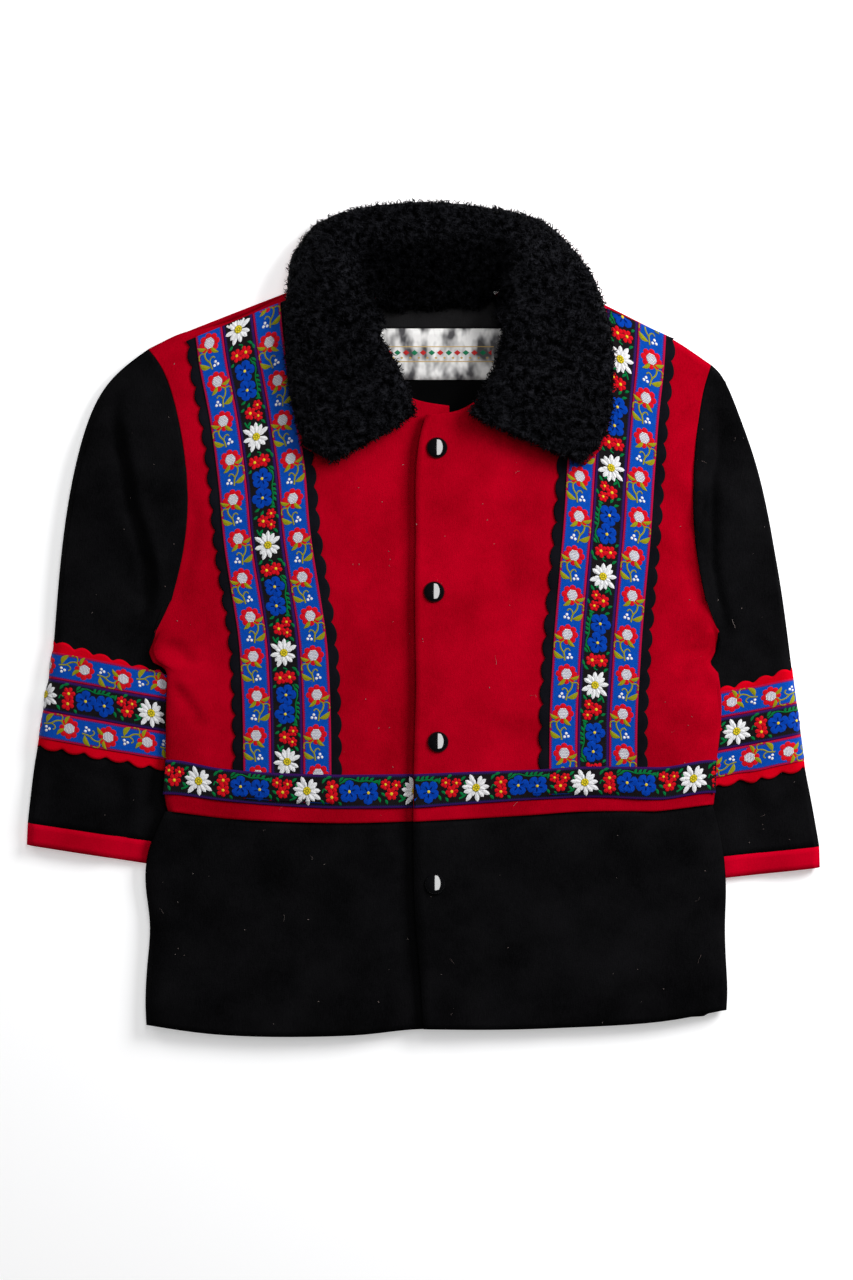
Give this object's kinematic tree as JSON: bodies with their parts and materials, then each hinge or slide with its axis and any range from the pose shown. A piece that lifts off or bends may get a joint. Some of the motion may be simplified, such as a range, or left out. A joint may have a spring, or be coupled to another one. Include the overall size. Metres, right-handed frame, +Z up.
{
  "type": "child's wool jacket, laid flat",
  "caption": "Child's wool jacket with a pile collar and flowered ribbon trim, snapped shut and laid flat on its back.",
  "frame": {"origin": "on the flat underside of the back, on the line of the snaps, 20 mm below the middle of the second snap from the top", "axes": "+X to the wearer's left, +Y from the hem to the neck, +Z up from the surface that the jacket lies on"},
  "size_m": [0.5562, 0.5853, 0.0283],
  "materials": {
    "red_wool": "felted wool, matt, with a fine nap",
    "black_wool": "felted wool, matt, with a fine nap",
    "fur": "curly pile fabric, dull sheen",
    "lining": "plain woven lining",
    "tape": "smooth woven tape",
    "label": "satin, without lettering",
    "black_felt": "cut felt, matt",
    "red_felt": "cut felt, matt",
    "blue_ribbon": "jacquard ribbon with woven red flowers",
    "dark_ribbon": "jacquard ribbon with woven alpine flowers",
    "snap_gloss": "glossy black dome",
    "snap_metal": "plain nickel"
  },
  "bodies": {
    "root": {"front_upper_r": "red_wool", "front_upper_l": "red_wool", "back_upper": "red_wool", "front_lower_r": "black_wool", "front_lower_l": "black_wool", "back_lower": "black_wool", "sleeve_r": "black_wool", "cuff_r": "red_wool", "sleeve_felt_r": "red_felt", "sleeve_blue_upper_r": "blue_ribbon", "sleeve_edel_r": "dark_ribbon", "sleeve_blue_lower_r": "blue_ribbon", "sleeve_l": "black_wool", "cuff_l": "red_wool", "sleeve_felt_l": "red_felt", "sleeve_blue_upper_l": "blue_ribbon", "sleeve_edel_l": "dark_ribbon", "sleeve_blue_lower_l": "blue_ribbon", "front_felt_r": "black_felt", "front_blue_outer_r": "blue_ribbon", "front_edel_r": "dark_ribbon", "front_blue_inner_r": "blue_ribbon", "waist_ribbon_r": "dark_ribbon", "front_felt_l": "black_felt", "front_blue_outer_l": "blue_ribbon", "front_edel_l": "dark_ribbon", "front_blue_inner_l": "blue_ribbon", "waist_ribbon_l": "dark_ribbon", "waist_ribbon_back": "dark_ribbon", "collar_fur_r": "fur", "collar_fur_l": "fur", "collar_under": "red_wool", "neck_lining": "lining", "neck_tape": "tape", "neck_label": "label", "snap_cap_1": "snap_gloss", "snap_socket_1": "snap_metal", "snap_cap_2": "snap_gloss", "snap_socket_2": "snap_metal", "snap_cap_3": "snap_gloss", "snap_socket_3": "snap_metal", "snap_cap_4": "snap_gloss", "snap_socket_4": "snap_metal"}
  },
  "joints": []
}
